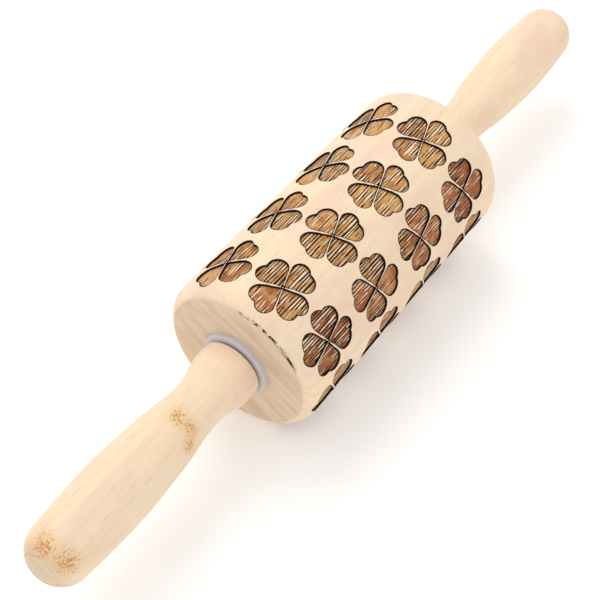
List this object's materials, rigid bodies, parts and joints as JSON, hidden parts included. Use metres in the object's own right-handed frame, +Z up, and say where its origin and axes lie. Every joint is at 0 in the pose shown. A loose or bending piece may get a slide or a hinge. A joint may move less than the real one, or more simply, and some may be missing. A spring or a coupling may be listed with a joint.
{
  "type": "engraved wooden rolling pin",
  "caption": "Wooden rolling pin with a barrel engraved all over with four-leaf clovers, turning on a steel rod between two turned handles.",
  "frame": {"origin": "centre of the barrel, on the rod's axis", "axes": "+X along the rod towards the far handle, +Z up with the pin lying level, +Y completes the right-handed frame"},
  "size_m": [0.305, 0.058, 0.058],
  "materials": {
    "barrel_wood": "sanded, unvarnished",
    "handle_wood": "sanded, unvarnished",
    "plug_wood": "sanded end grain",
    "nylon": "moulded, satin",
    "steel": "zinc plated"
  },
  "bodies": {
    "handles": {"axle": "steel", "near_handle": "handle_wood", "far_handle": "handle_wood", "near_thrust_washer": "steel", "far_thrust_washer": "steel", "near_clamp_washer": "steel", "far_clamp_washer": "steel", "near_nut": "steel", "far_nut": "steel", "near_plug": "plug_wood", "far_plug": "plug_wood"},
    "barrel": {"barrel": "barrel_wood", "near_bush": "nylon", "far_bush": "nylon"}
  },
  "joints": [
    {"name": "barrel_spin", "type": "hinge", "parent": "handles", "child": "barrel", "pos_m": [0, 0, 0], "axis": [1, 0, 0], "continuous": true}
  ]
}
